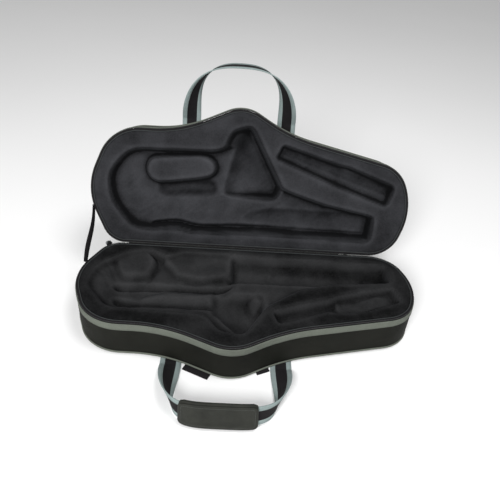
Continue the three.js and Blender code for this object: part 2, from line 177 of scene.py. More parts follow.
class Shader:
    """A material's node tree, with short calls for the nodes that the materials here share."""

    def __init__(self, name, color, roughness, sheen=0.0, metallic=0.0, specular=0.05):
        self.material = bpy.data.materials.new(name)
        self.material.use_nodes = True
        self.material.diffuse_color = (*color, 1.0)
        self.tree = self.material.node_tree
        self.surface = self.tree.nodes["Principled BSDF"].inputs
        self.base_color = color
        self.set("Base Color", (*color, 1.0))
        self.set("Roughness", roughness)
        self.set("Metallic", metallic)
        self.set("Specular IOR Level", specular)
        self.set("Sheen Weight", sheen)
        self.place = self.node("ShaderNodeTexCoord").outputs["Object"]

    def feed(self, socket, value):
        """Links another node's output to a socket, or sets the socket's value."""
        if isinstance(value, bpy.types.NodeSocket):
            self.tree.links.new(value, socket)
        else:
            socket.default_value = value

    def set(self, name, value):
        self.feed(self.surface[name], value)

    def node(self, kind, *inputs, **settings):
        """A new node. Capitalised settings are inputs by name, the others the node's own properties."""
        node = self.tree.nodes.new(kind)
        for socket, value in zip(node.inputs, inputs):
            self.feed(socket, value)
        for name, value in settings.items():
            if name[0].isupper():
                self.feed(node.inputs[name], value)
            else:
                setattr(node, name, value)
        return node

    def math(self, operation, *inputs):
        return self.node("ShaderNodeMath", *inputs, operation=operation).outputs[0]

    def cloth_place(self):
        """Place on the cloth in millimetres, which follows a strap or a rim round its bends."""
        return self.node("ShaderNodeAttribute", attribute_name="weave").outputs["Vector"]

    def noise(self, scale, detail=2.0, roughness=0.5):
        node = self.node(
            "ShaderNodeTexNoise", Vector=self.place, Scale=scale, Detail=detail, Roughness=roughness,
        )
        return node.outputs["Fac"]

    def tint(self, factor, low, high, start=0.3, end=0.7):
        """The base colour times low up to times high, as factor goes from start to end."""
        node = self.node("ShaderNodeValToRGB", factor)
        for stop, position, share in zip(node.color_ramp.elements, (start, end), (low, high)):
            stop.position = position
            stop.color = (*(min(1.0, channel * share) for channel in self.base_color), 1.0)
        self.set("Base Color", node.outputs["Color"])

    def vary_roughness(self, factor, amount, least):
        self.set("Roughness", self.math("MULTIPLY_ADD", factor, amount, least))

    def bump(self, height, distance, strength, **under):
        """A bump on the surface. under may give the Normal of a broader bump beneath it."""
        node = self.node("ShaderNodeBump", Strength=strength, Distance=distance, Height=height, **under)
        self.set("Normal", node.outputs["Normal"])
        return node.outputs["Normal"]

    def weave(self, pitch):
        """Height of a plain weave: warp and weft threads that pass over each other in turn."""
        axes = self.node("ShaderNodeSeparateXYZ", self.cloth_place()).outputs
        threads = [self.math("DIVIDE", axis, pitch) for axis in axes[:2]]
        crests = []
        for thread in threads:
            wave = self.math("SINE", self.math("MULTIPLY", thread, math.pi))
            crests.append(self.math("ABSOLUTE", wave))
        cells = self.math("ADD", *(self.math("FLOOR", thread) for thread in threads))
        over = self.math("ABSOLUTE", self.math("MODULO", cells, 2.0))
        difference = self.math("SUBTRACT", crests[1], crests[0])
        return self.math("MULTIPLY_ADD", over, difference, crests[0])

    def ribs(self, pitch, slant=0.35, zigzag_width=2.4):
        """Height of the slanting ribs of woven webbing."""
        axes = self.node("ShaderNodeSeparateXYZ", self.cloth_place()).outputs
        zigzag = self.math("PINGPONG", axes[1], zigzag_width)
        along = self.math("MULTIPLY_ADD", zigzag, slant, axes[0])
        return self.math("ABSOLUTE", self.math("SINE", self.math("MULTIPLY", along, math.pi / pitch)))


def floor_material():
    shader = Shader("pale_floor", (0.93, 0.93, 0.93), 0.85)
    shader.tint(shader.noise(1.2), 0.989, 1.011)
    return shader.material


def plush_material(name, color):
    """Plush with a short nap: brushed patches, fine fuzz, specks, and the painted light and shade that the
    mould gives.
    """
    shader = Shader(name, color, 0.95, sheen=0.05)
    shader.set("Sheen Roughness", 0.45)
    shader.set("Sheen Tint", (0.45, 0.47, 0.52, 1.0))
    patches = shader.noise(16.0, 3.0, 0.6)
    fuzz = shader.noise(900.0, 2.0, 0.7)
    specks = shader.noise(330.0, 3.0, 0.75)
    mixed = shader.math("MULTIPLY_ADD", specks, 0.3, shader.math("MULTIPLY_ADD", patches, 0.5, -0.12))
    # The third component of the cloth's place is painted light and shade from the mould's form.
    painted_shading = shader.node("ShaderNodeSeparateXYZ", shader.cloth_place()).outputs[2]
    shader.tint(shader.math("MULTIPLY_ADD", painted_shading, 0.55, mixed), 0.15, 1.95, 0.32, 0.92)
    shader.vary_roughness(patches, 0.12, 0.86)
    broad = shader.bump(patches, 0.004, 0.3)
    shader.bump(fuzz, 0.0006, 0.5, Normal=broad)
    return shader.material


def nylon_material():
    shader = Shader("nylon", (0.0105, 0.0108, 0.0088), 0.75)
    threads = shader.weave(1.1)
    dust = shader.noise(28.0, 5.0, 0.6)
    mixed = shader.math("MULTIPLY_ADD", threads, 0.4, shader.math("MULTIPLY", dust, 0.6))
    shader.tint(mixed, 0.6, 1.7, 0.25, 0.8)
    shader.vary_roughness(dust, 0.2, 0.5)
    shader.bump(threads, 0.0003, 0.8)
    return shader.material


def webbing_material(name, color, pitch=1.9, contrast=0.5):
    shader = Shader(name, color, 0.72, sheen=0.01)
    ribs = shader.ribs(pitch)
    wear = shader.noise(60.0, 4.0, 0.65)
    mixed = shader.math("MULTIPLY_ADD", ribs, 0.5, shader.math("MULTIPLY", wear, 0.5))
    shader.tint(mixed, 1 - contrast, 1 + contrast * 0.6, 0.15, 0.85)
    shader.vary_roughness(wear, 0.2, 0.6)
    shader.bump(ribs, 0.0004, 0.8)
    return shader.material


def vinyl_material():
    """Grained vinyl: small cells with sunken edges, a little worn."""
    shader = Shader("vinyl", (0.021, 0.022, 0.0185), 0.55, specular=0.12)
    cells = shader.node(
        "ShaderNodeTexVoronoi", feature="DISTANCE_TO_EDGE", Vector=shader.place, Scale=700.0,
    )
    grain = shader.math("MINIMUM", cells.outputs["Distance"], 0.25)
    wear = shader.noise(45.0, 4.0, 0.6)
    shader.tint(wear, 0.75, 1.35)
    shader.vary_roughness(wear, 0.25, 0.42)
    shader.bump(grain, 0.0006, 0.7)
    return shader.material


def foam_material():
    shader = Shader("foam", (0.09, 0.09, 0.10), 0.95)
    beads = shader.noise(420.0)
    shader.tint(beads, 0.8, 1.2)
    shader.bump(beads, 0.0008, 0.6)
    return shader.material


def zinc_material():
    shader = Shader("zinc", (0.30, 0.31, 0.32), 0.34, metallic=1.0)
    scratches = shader.noise(260.0, 4.0, 0.7)
    shader.tint(scratches, 0.6, 1.3)
    shader.vary_roughness(scratches, 0.3, 0.2)
    shader.bump(scratches, 0.0002, 0.4)
    return shader.material


def coil_material():
    """Moulded nylon of the zipper's teeth."""
    shader = Shader("coil", (0.016, 0.016, 0.017), 0.38, specular=0.3)
    wear = shader.noise(300.0, 3.0)
    shader.tint(wear, 0.7, 1.8)
    shader.vary_roughness(wear, 0.25, 0.28)
    return shader.material


def thread_material():
    shader = Shader("thread", (0.10, 0.105, 0.10), 0.6, sheen=0.02)
    twist = shader.noise(1200.0)
    shader.tint(twist, 0.6, 1.4)
    shader.bump(twist, 0.0002, 0.6)
    return shader.material


# ---- Mesh helpers ----

def to_row(points, half):
    x, y, z = np.asarray(points, float).reshape(-1, 3).T
    if half == "lid":
        above = RIM - z
        y, z = y * OPEN_COSINE + above * OPEN_SINE, RIM - y * OPEN_SINE + above * OPEN_COSINE
    return np.column_stack([x, y + HINGE_Y, z]) * MM


def add_piece(name, half, points, faces, materials, body, replaces=(), weave=None, face_slots=None):
    """A mesh piece of a half, in place, on its body. weave gives each point's place on its cloth."""
    mesh = bpy.data.meshes.new(name)
    if half == "lid":
        faces = [face[::-1] for face in faces]
    mesh.from_pydata(to_row(points, half).tolist(), [], [tuple(int(i) for i in f) for f in faces])
    for material in materials if isinstance(materials, (list, tuple)) else [materials]:
        mesh.materials.append(material)
    if face_slots is not None:
        mesh.polygons.foreach_set("material_index", np.asarray(face_slots, dtype=np.int32))
    if weave is not None:
        attribute = mesh.attributes.new("weave", "FLOAT_VECTOR", "POINT")
        attribute.data.foreach_set("vector", np.asarray(weave, np.float32).ravel())
    mesh.polygons.foreach_set("use_smooth", [True] * len(mesh.polygons))
    mesh.update()
    piece = bpy.data.objects.new(name, mesh)
    bpy.context.collection.objects.link(piece)
    if body:
        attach(piece, body)
    if replaces:
        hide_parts(*replaces)
    return piece


def grid_faces(rows, columns, close_rows=False, close_columns=False):
    """Quads between rows of points, facing the way that (next column) x (next row) points."""
    faces = []
    for r in range(rows if close_rows else rows - 1):
        for c in range(columns if close_columns else columns - 1):
            right = (c + 1) % columns
            here, above = r * columns, (r + 1) % rows * columns
            faces.append((here + c, here + right, above + right, above + c))
    return faces


def tube_faces(rows, columns):
    """Faces of a tube that runs through rows of points, with capped ends."""
    last = (rows - 1) * columns
    caps = [tuple(reversed(range(columns))), tuple(last + k for k in range(columns))]
    return grid_faces(rows, columns, close_columns=True) + caps


def resample(stations, along, values):
    """Each column of values, given at the places along a line, at other stations of it."""
    return np.column_stack([np.interp(stations, along, column) for column in values.T])


def lengths(line):
    """How far each point of a line is along it."""
    return np.concatenate([[0.0], np.cumsum(np.linalg.norm(np.diff(line, axis=0), axis=1))])


def between(grid, i, j):
    """A grid's value at any place (i, j) between its own rows and columns."""
    i = np.clip(i, 0, grid.shape[0] - 1.001)
    j = np.clip(j, 0, grid.shape[1] - 1.001)
    i0, j0 = i.astype(int), j.astype(int)
    weights = (len(i),) + (1,) * (grid.ndim - 2)
    s, t = (i - i0).reshape(weights), (j - j0).reshape(weights)
    near = grid[i0, j0] * (1 - t) + grid[i0, j0 + 1] * t
    far = grid[i0 + 1, j0] * (1 - t) + grid[i0 + 1, j0 + 1] * t
    return near * (1 - s) + far * s


def unit(vectors):
    vectors = np.asarray(vectors, float)
    return vectors / np.linalg.norm(vectors, axis=-1, keepdims=True)


def ease(t):
    """From 0 to 1 with soft ends, and level outside."""
    t = np.clip(t, 0.0, 1.0)
    return t * t * (3 - 2 * t)


def rounded(corners, spacing=3.0):
    """Points and outward normals round a polygon whose corners (x, y, radius) are rounded off."""
    corners = np.array(corners, float)
    ahead = np.roll(corners, -1, 0)
    if (corners[:, 0] * ahead[:, 1]).sum() < (ahead[:, 0] * corners[:, 1]).sum():
        corners = corners[::-1]
    xy, radii = corners[:, :2], corners[:, 2]
    to_next = np.roll(xy, -1, 0) - xy
    edge = np.linalg.norm(to_next, axis=1)
    ahead = to_next / edge[:, None]
    behind = -np.roll(ahead, 1, 0)
    half_angle = np.arccos(np.clip((ahead * behind).sum(1), -1, 1)) / 2
    reach = radii / np.tan(half_angle)
    crowding = (reach + np.roll(reach, -1)) / edge
    shrink = 1 / np.maximum(1, np.maximum(crowding, np.roll(crowding, 1)))
    radii, reach = radii * shrink, reach * shrink
    points, normals = [], []
    for i, corner in enumerate(xy):
        centre = corner + unit(ahead[i] + behind[i]) * radii[i] / math.sin(half_angle[i])
        start = corner + behind[i] * reach[i] - centre
        end = corner + ahead[i] * reach[i] - centre
        turn = math.atan2(start[0] * end[1] - start[1] * end[0], start @ end)
        steps = max(2, math.ceil(abs(turn) * radii[i] / spacing))
        first = math.atan2(start[1], start[0])
        for angle in first + turn * np.linspace(0, 1, steps + 1):
            direction = np.array([math.cos(angle), math.sin(angle)])
            points.append(centre + radii[i] * direction)
            normals.append(direction * (1 if turn > 0 else -1))
    filled, filled_normals = [], []
    for i, point in enumerate(points):
        following = points[(i + 1) % len(points)]
        gap = np.linalg.norm(following - point)
        parts = max(1, round(gap / spacing))
        for t in np.arange(parts) / parts if gap > 1e-6 else []:
            filled.append(point + t * (following - point))
            filled_normals.append(unit((1 - t) * normals[i] + t * normals[(i + 1) % len(points)]))
    return np.array(filled), np.array(filled_normals)


def distance_to(line, points, closed=True):
    """Distance from points to a line, negative inside a closed one, and the nearest points of the line."""
    ends = np.roll(line, -1, 0) if closed else line[1:]
    starts = line if closed else line[:-1]
    best = np.full(len(points), np.inf)
    nearest = np.zeros_like(points)
    inside = np.zeros(len(points), bool)
    for a, b in zip(starts, ends):
        step = b - a
        t = np.clip(((points - a) @ step) / max(step @ step, 1e-12), 0, 1)
        foot = a + t[:, None] * step
        distance = np.linalg.norm(points - foot, axis=1)
        closer = distance < best
        best[closer] = distance[closer]
        nearest[closer] = foot[closer]
        if closed and a[1] != b[1]:
            crosses = (a[1] > points[:, 1]) != (b[1] > points[:, 1])
            inside ^= crosses & (points[:, 0] < a[0] + (points[:, 1] - a[1]) / (b[1] - a[1]) * step[0])
    return np.where(inside, -best, best), nearest


def ripple(points, wavelength, seed, waves=14):
    """Smooth noise, about -1 to 1, with bumps of about the given size."""
    random = np.random.default_rng(seed)
    points = np.atleast_2d(points)
    total = np.zeros(len(points))
    for _ in range(waves):
        direction = random.normal(size=points.shape[1])
        direction *= 2 * math.pi / wavelength * random.uniform(0.5, 1.4) / np.linalg.norm(direction)
        total += np.cos(points @ direction + random.uniform(0, 2 * math.pi))
    return total / math.sqrt(waves)


def plan_grid(loop, cell):
    """Points in even steps over a plan and a little past it, and the grid's rows and columns."""
    low, high = loop.min(0) - 2 * cell, loop.max(0) + 2 * cell
    axes = [np.arange(start, end, cell) for start, end in zip(low, high)]
    points = np.stack(np.meshgrid(*axes, indexing="ij"), -1)
    return points.reshape(-1, 2), points.shape[:2]


def sheet_on_plan(loop, cell):
    """A grid of cells that fills a plan: its points, its quads, and its edge moved onto the plan's loop."""
    points, shape = plan_grid(loop, cell)
    distance, nearest = distance_to(loop, points)
    keep = (distance < 0.7 * cell).reshape(shape)
    full = keep[:-1, :-1] & keep[1:, :-1] & keep[:-1, 1:] & keep[1:, 1:]
    i, j = np.nonzero(full)
    corner, above = i * shape[1] + j, shape[1]
    quads = np.column_stack([corner, corner + above, corner + above + 1, corner + 1])
    points = np.where(distance[:, None] > 0, nearest, points)
    used = np.unique(quads)
    renumber = np.zeros(len(points), int)
    renumber[used] = np.arange(len(used))
    return points[used], renumber[quads], np.minimum(distance[used], 0)


def open_edges(quads):
    """The edges of a sheet of quads that belong to one quad only, in the order of the quads."""
    edges = {}
    for quad in quads:
        for a, b in zip(quad, np.roll(quad, -1)):
            edges[(int(a), int(b))] = True
    return [(a, b) for a, b in edges if (b, a) not in edges]


def closed_shell(top, bottom, quads, rim):
    """A closed shell between two layers of points that share their quads and the rim's edges."""
    count = len(top)
    faces = [tuple(quad) for quad in quads]
    faces += [tuple(count + i for i in quad[::-1]) for quad in quads]
    faces += [(b, a, count + a, count + b) for a, b in rim]
    return np.vstack([top, bottom]), faces


def closed_sheet(plan, quads, top, bottom):
    """A closed shell between two heights over the same plan."""
    layers = [np.column_stack([plan, height]) for height in (top, bottom)]
    return closed_shell(*layers, quads, open_edges(quads))


# ---- The outline that all the rims share ----

LOOP, OUTWARD = rounded(PLAN, RIM_SPACING)
ALONG = lengths(LOOP)


def ring(name, half, section, material, slot, replaces=(), swell=None):
    """A closed ring round the plan. section lists (outwards, height), anticlockwise, and swell(along,
    height, outwards) pushes a point further out."""
    points, cloth = [], []
    walked = 0.0
    previous = section[0]
    for out, height in section:
        walked += math.hypot(out - previous[0], height - previous[1])
        previous = (out, height)
        extra = swell(ALONG, height, out) if swell else 0.0
        place = LOOP + OUTWARD * np.reshape(out + extra, (-1, 1))
        level = np.ones(len(LOOP))
        points.append(np.column_stack([place, height * level]))
        cloth.append(np.column_stack([ALONG, walked * level, 0 * level]))
    faces = grid_faces(len(section), len(LOOP), close_rows=True, close_columns=True)
    add_piece(name, half, np.vstack(points), faces, material, half, replaces, np.vstack(cloth))


def cover_swell(along, height, out=0.0):
    """How far the padded side bulges: fullest halfway up, with soft dimples along its length."""
    t = np.clip((height - COVER_FOOT) / (COVER_TOP - COVER_FOOT), 0, 1)
    around = np.column_stack([along, np.full_like(along, height * 1.5)])
    dimples = 0.28 * ripple(around, 90.0, 5) + 0.12 * ripple(around, 26.0, 6)
    return (0.9 + dimples) * math.sin(math.pi * t) * (0.0 if out < -0.7 else 1.0)


def round_section(out, height, radius, sides):
    angles = 2 * math.pi * (np.arange(sides) + 0.5) / sides
    return [(out + radius * math.cos(a), height + radius * math.sin(a)) for a in angles]


def stitch_row(places, directions, outwards, length):
    """Stitches as small thread grains, each lying along its direction and half sunk in the cloth."""
    points, faces = [], []
    radius = STITCH_RADIUS
    for place, direction, outward in zip(places, unit(directions), unit(outwards)):
        across = np.cross(outward, direction)
        base = len(points)
        points.append(place - direction * length / 2 - outward * radius)
        for along in (-0.3, 0.3):
            middle = place + direction * length * along
            for side, lift in ((1, 0), (0, 1), (-1, 0), (0, -1)):
                points.append(middle + across * radius * side + outward * radius * (lift - 0.1))
        points.append(place + direction * length / 2 - outward * radius)
        for k in range(4):
            n = (k + 1) % 4
            faces.append((base, base + 1 + k, base + 1 + n))
            faces.append((base + 1 + k, base + 5 + k, base + 5 + n, base + 1 + n))
            faces.append((base + 5 + k, base + 9, base + 5 + n))
    return points, faces


def rim_stations(pitch, left_over):
    """Steps along the rim that leave a part of a step at its end: how far along, place and outwards."""
    stations = np.arange(0, ALONG[-1] - pitch * left_over, pitch)
    return stations, resample(stations, ALONG, LOOP), unit(resample(stations, ALONG, OUTWARD))


def rim_stitches(out, height):
    """A row of stitches round the outside of a half."""
    stations, place, normal = rim_stations(3.6, 1.0)
    lift = out + np.interp(stations, ALONG, cover_swell(ALONG, height))
    place = place + normal * lift[:, None]
    level = np.full((len(place), 1), height)
    flat = np.zeros((len(place), 1))
    along = np.column_stack([-normal[:, 1], normal[:, 0]])
    return stitch_row(np.hstack([place, level]), np.hstack([along, flat]), np.hstack([normal, flat]), 2.6)


def merge(parts):
    """One list of points and faces from several."""
    points, faces = [], []
    for more_points, more_faces in parts:
        base = len(points)
        points.extend(more_points)
        faces.extend(tuple(base + i for i in face) for face in more_faces)
    return points, faces


# ---- Shell of a half ----

def side_cover(half):
    """The padded nylon wall, a thin shell that bulges outwards."""
    levels = np.linspace(COVER_FOOT, COVER_TOP, 15)
    section = [(0.0, z) for z in levels] + [(-COVER, z) for z in (COVER_TOP, COVER_FOOT)]
    ring(f"{half}_cover", half, section, nylon, "nylon", [f"{half}_side_cover"], cover_swell)


def trim_band(half):
    """The grey band under the rim, with a row of stitches along each edge."""
    low, high = COVER_TOP - TRIM_WIDTH, COVER_TOP
    inner, outer = 0.15, 0.15 + TRIM_THICK
    bevel = 0.35
    section = [
        (inner, low), (outer - bevel, low), (outer, low + bevel), (outer + 0.1, low + TRIM_WIDTH * 0.3),
        (outer + 0.1, low + TRIM_WIDTH * 0.7), (outer, high - bevel), (outer - bevel, high), (inner, high),
    ]
    ring(f"{half}_trim", half, section, grey_webbing, "grey_webbing", [f"{half}_trim_band"], cover_swell)
    points, faces = merge(rim_stitches(outer + 0.1, height) for height in (low + 1.8, high - 1.8))
    add_piece(f"{half}_trim_stitches", half, points, faces, thread, half)


def edge_piping(half):
    section = round_section(-0.4, 4.6, PIPING_RADIUS, 12)
    ring(f"{half}_edge_piping", half, section, grey_webbing, "grey_webbing", [f"{half}_piping"])


def rim_tape(half):
    """Binding between lining and zipper, its thin pale cord, the zipper's tape and its teeth."""
    black = black_webbing, "black_webbing"
    ring(f"{half}_binding", half, BINDING_SECTION, *black, [f"{half}_rim_binding"])
    ring(f"{half}_lining_cord", half, round_section(-5.35, 76.75, 0.75, 8), cord_grey, "grey_webbing")
    ring(f"{half}_tape", half, TAPE_SECTION, *black, [f"{half}_zipper_tape"])
    zipper_teeth(half)


def zipper_teeth(half):
    """A row of moulded coil turns along the tape's free edge."""
    _, places, normals = rim_stations(TOOTH_PITCH, 0.5)
    count = len(TOOTH_PROFILE)
    tooth_faces = []
    for k in range(count):
        n = (k + 1) % count
        tooth_faces.append((2 * n, 2 * n + 1, 2 * k + 1, 2 * k))
    tooth_faces += [tuple(reversed(range(0, 2 * count, 2))), tuple(range(1, 2 * count, 2))]
    parts = []
    for (x, y), (nx, ny) in zip(places, normals):
        points = []
        for out, height, wide in TOOTH_PROFILE:
            for side in (-1, 1):
                points.append((x + nx * out - ny * wide * side, y + ny * out + nx * wide * side, height))
        parts.append((points, tooth_faces))
    points, faces = merge(parts)
    piece = add_piece(f"{half}_teeth", half, points, faces, coil, half)
    piece.data.polygons.foreach_set("use_smooth", [False] * len(piece.data.polygons))


def outer_panel(half, node):
    """Padded outer face, with a shallow recess under each webbing end and a seam along its edge."""
    loop = LOOP - OUTWARD * PANEL_INSET
    plan, quads, distance = sheet_on_plan(loop, PANEL_CELL)
    edge = 2.2 * (1 - ease(-distance / 5.0)) ** 2
    outside = edge.copy()
    if half == "lid":
        outside -= 1.5 * ease((-distance - 8) / 60.0)
        outside += 0.9 * np.exp(-((distance + 12.0) / 1.6) ** 2)
        outside -= 0.25 * ripple(plan, 110.0, 11) * ease((-distance - 16) / 20.0)
    for x in LEG_X:
        in_x = ease((WEBBING_WIDTH / 2 + 2.5 - np.abs(plan[:, 0] - x)) / 3.0)
        in_y = ease((HANDLE_Y + ANCHOR_LENGTH + 5.0 - plan[:, 1]) / 3.0)
        outside += (2.6 - outside) * in_x * in_y
    if half == "base":
        outside = np.maximum(outside, 0.0)
    points, faces = closed_sheet(plan, quads, np.full(len(plan), PANEL_TOP), outside)
    add_piece(f"{half}_{node}_pad", half, points, faces, nylon, half, [f"{half}_{node}"], points)


# ---- Moulded interior ----

def blurred(grid, passes):
    """A grid of values, smoothed over its neighbours."""
    for _ in range(passes):
        padded = np.pad(grid, 1, mode="edge")
        grid = (padded[:-2, 1:-1] + 2 * padded[1:-1, 1:-1] + padded[2:, 1:-1]) / 4
        padded = np.pad(grid, 1, mode="edge")
        grid = (padded[1:-1, :-2] + 2 * padded[1:-1, 1:-1] + padded[1:-1, 2:]) / 4
    return grid


class Mould:
    """The height of the lining's surface over a grid of the plan. Each call presses one form into it."""

    def __init__(self):
        loop = LOOP - OUTWARD * LINING_INSET
        self.low = loop.min(0) - 2 * LINING_CELL
        self.points, self.shape = plan_grid(loop, LINING_CELL)
        self.x, self.y = self.points.T
        self.height = np.full(len(self.points), LINING_TOP)
        edge, _ = distance_to(loop, self.points)
        self.height -= 0.9 * ease((edge + 4.0) / 4.0)

    def inside(self, corners, run, soft):
        """1 well inside the outline, falling to 0 at it over the length of the slope."""
        line = rounded(corners, 4.0)[0]
        for _ in range(soft):
            line = (np.roll(line, 1, 0) + 2 * line + np.roll(line, -1, 0)) / 4
        distance, _ = distance_to(line, self.points)
        return ease(-distance / run)

    def press(self, corners, floor, run, soft=8):
        """Presses a pocket in, down to its floor."""
        self.height += (floor - self.height) * self.inside(corners, run, soft)

    def scoop(self, corners, surface, run, soft=8):
        """Presses a curved surface in, only where it is the deeper one."""
        deeper = np.minimum(self.height, surface)
        self.height += (deeper - self.height) * self.inside(corners, run, soft)

    def swell(self, corners, top, run, soft=12):
        """Raises a pad, only where it is the higher one."""
        higher = np.maximum(self.height, top)
        self.height += (higher - self.height) * self.inside(corners, run, soft)

    def painted_shading(self, wall_shade, depth_shade, rim_shade):
        """Painted light and shade: lighter on crests, darker in hollows, on walls and at the rim, shifted by
        depth.
        """
        grid = self.height.reshape(self.shape)
        steep = np.hypot(*np.gradient(grid, LINING_CELL))
        crest = np.clip(grid - blurred(grid, 14), -3.0, 2.0)
        # Painted highlight on crests, painted shade in hollows and on steep walls
        light = 0.6 + 0.10 * crest - wall_shade * ease(steep / 1.6)
        light += depth_shade * (np.minimum(grid, 62.0) - 52.0)
        # Painted shade on the flange near the rim
        light -= rim_shade * ease((grid - 74.0) / 2.5)
        return light.ravel()

    def creases(self, lines):
        """Presses narrow lines in, each with its depth and width; a negative depth raises a welt."""
        for line, depth, width in lines:
            distance, _ = distance_to(np.array(line, float), self.points, closed=False)
            self.height -= depth * np.exp(-(distance / width) ** 2)

    def soften(self):
        self.height = blurred(self.height.reshape(self.shape), 1).ravel()

    def wrinkle(self, seed):
        """Unevenness of plush glued over foam, more of it down in the pockets."""
        sunk = ease((LINING_TOP - 2 - self.height) / 12.0)
        broad = ripple(self.points, 42.0, seed)
        fine = ripple(self.points, 13.0, seed + 1)
        self.height += sunk * (0.55 * broad + 0.16 * fine) + 0.12 * broad

    def at(self, points, values=None):
        """Height, or another value, at any point of the plan, between the grid's own points."""
        values = self.height if values is None else values
        i, j = (points - self.low).T / LINING_CELL
        return between(values.reshape(self.shape), i, j)


def round_channel(mould, centre_y, half_width, bottom, top):
    """A half-round channel along x."""
    across = (mould.y - centre_y) / half_width
    return bottom + (top - bottom) * (1 - np.sqrt(np.clip(1 - across ** 2, 0, 1)))


def bell_surface(mould, rim_middle, rim_radius, throat, axis, reach, deepest):
    """The horn's bell lying on its side: a flared cone, widest at its rim and narrow at its throat."""
    axis = unit(axis)
    offset = mould.points - np.array(rim_middle, float)
    along = np.clip(offset @ axis / reach, -0.2, 1.2)
    across = offset @ np.array([-axis[1], axis[0]])
    radius = throat + (rim_radius - throat) * np.clip(1 - along, 0, 1) ** 1.7
    bottom = deepest + (LINING_TOP - 16 - deepest) * ease(along) * 0.55
    share = np.clip(1 - (across / radius) ** 2, 0, 1)
    return LINING_TOP - (LINING_TOP - bottom) * np.sqrt(share)


def lid_mould():
    """The lid's pockets: a pad for the body, the bell, and the neck's narrow pocket."""
    mould = Mould()
    trough = [
        (-238, -30, 34), (-284, -90, 50), (-287, -142, 40), (-246, -193, 44), (-64, -197, 26),
        (-44, -218, 20), (10, -180, 20), (62, -128, 50), (160, -99, 200), (254, -82, 7),
        (252, -29, 8), (20, -30, 60), (-112, -24, 30), (-150, -33, 24), (-200, -27, 30),
    ]
    mould.press(trough, 53.0, 8.0, soft=20)
    mould.press([(150, -101, 10), (254, -82, 5), (252, -29, 5), (150, -29, 10)], 53.0, 7.0, soft=1)
    mould.press([(-196, -134, 20), (-64, -142, 20), (-60, -98, 20), (-192, -90, 16)], 42.0, 18.0, soft=14)
    tube = round_channel(mould, -58.0, 31.0, 42.0, 66.0)
    tube = np.where(mould.x < 60, tube + 12 * ease((60 - mould.x) / 90.0), tube)
    mould.scoop(trough, tube, 9.0)
    falling = 40.0 - 0.24 * (mould.x + 60) + 0.10 * (mould.y + 160)
    rounding = 15.0 * ease((-14 - mould.x - 0.35 * (mould.y + 160)) / 46.0)
    flare = 16.0 * ease((-6 - mould.x - 0.55 * (mould.y + 205)) / 52.0)
    bell_pocket = [
        (-64, -190, 22), (-46, -238, 18), (-5, -250, 12), (66, -124, 18), (52, -98, 16), (-62, -100, 20),
    ]
    mould.scoop(bell_pocket, np.maximum(falling + rounding + flare, 18.0), 9.0)
    hinge_wall = [
        (-236, -44, 14), (-196, -44, 20), (-150, -52, 20), (-104, -42, 20), (-20, -48, 20), (250, -45, 8),
        (250, -26, 8), (20, -30, 20), (-112, -26, 20), (-150, -36, 20), (-200, -30, 20),
    ]
    mould.press(hinge_wall, 40.0, 9.0, soft=10)
    pad = [
        (-212, -180, 22), (-150, -186, 40), (-92, -191, 30), (-62, -168, 24), (-72, -140, 22),
        (-130, -129, 60), (-194, -120, 22), (-218, -142, 22),
    ]
    mould.swell(pad, 73.0 - 0.02 * (mould.x + 140), 7.0)
    neck = [
        (44, -187, 5), (57, -216, 6), (176, -182, 8), (192, -180, 6), (290, -146, 9), (277, -103, 8),
        (172, -138, 8),
    ]
    mould.press(neck, 60.0, 4.5, soft=1)
    far_side = [(60, -207, 5), (178, -174, 6), (284, -142, 8), (280, -122, 6), (174, -156, 8), (54, -196, 5)]
    mould.press(far_side, 57.0, 5.0, soft=1)
    mould.creases([
        ([(-186, -92), (-143, -89), (-142, -43)], 1.1, 1.6),
        ([(-26, -100), (-22, -60), (-25, -34)], 0.9, 1.8),
        ([(-240, -62), (-228, -55), (-219, -62)], 1.6, 2.4),
        ([(-60, -106), (-20, -102), (30, -106), (64, -119)], -2.6, 3.0),
        ([(166, -136), (174, -154), (176, -178)], 1.2, 2.2),
        ([(-150, -155), (-118, -158)], 0.8, 2.2),
    ])
    mould.soften()
    mould.wrinkle(21)
    return mould


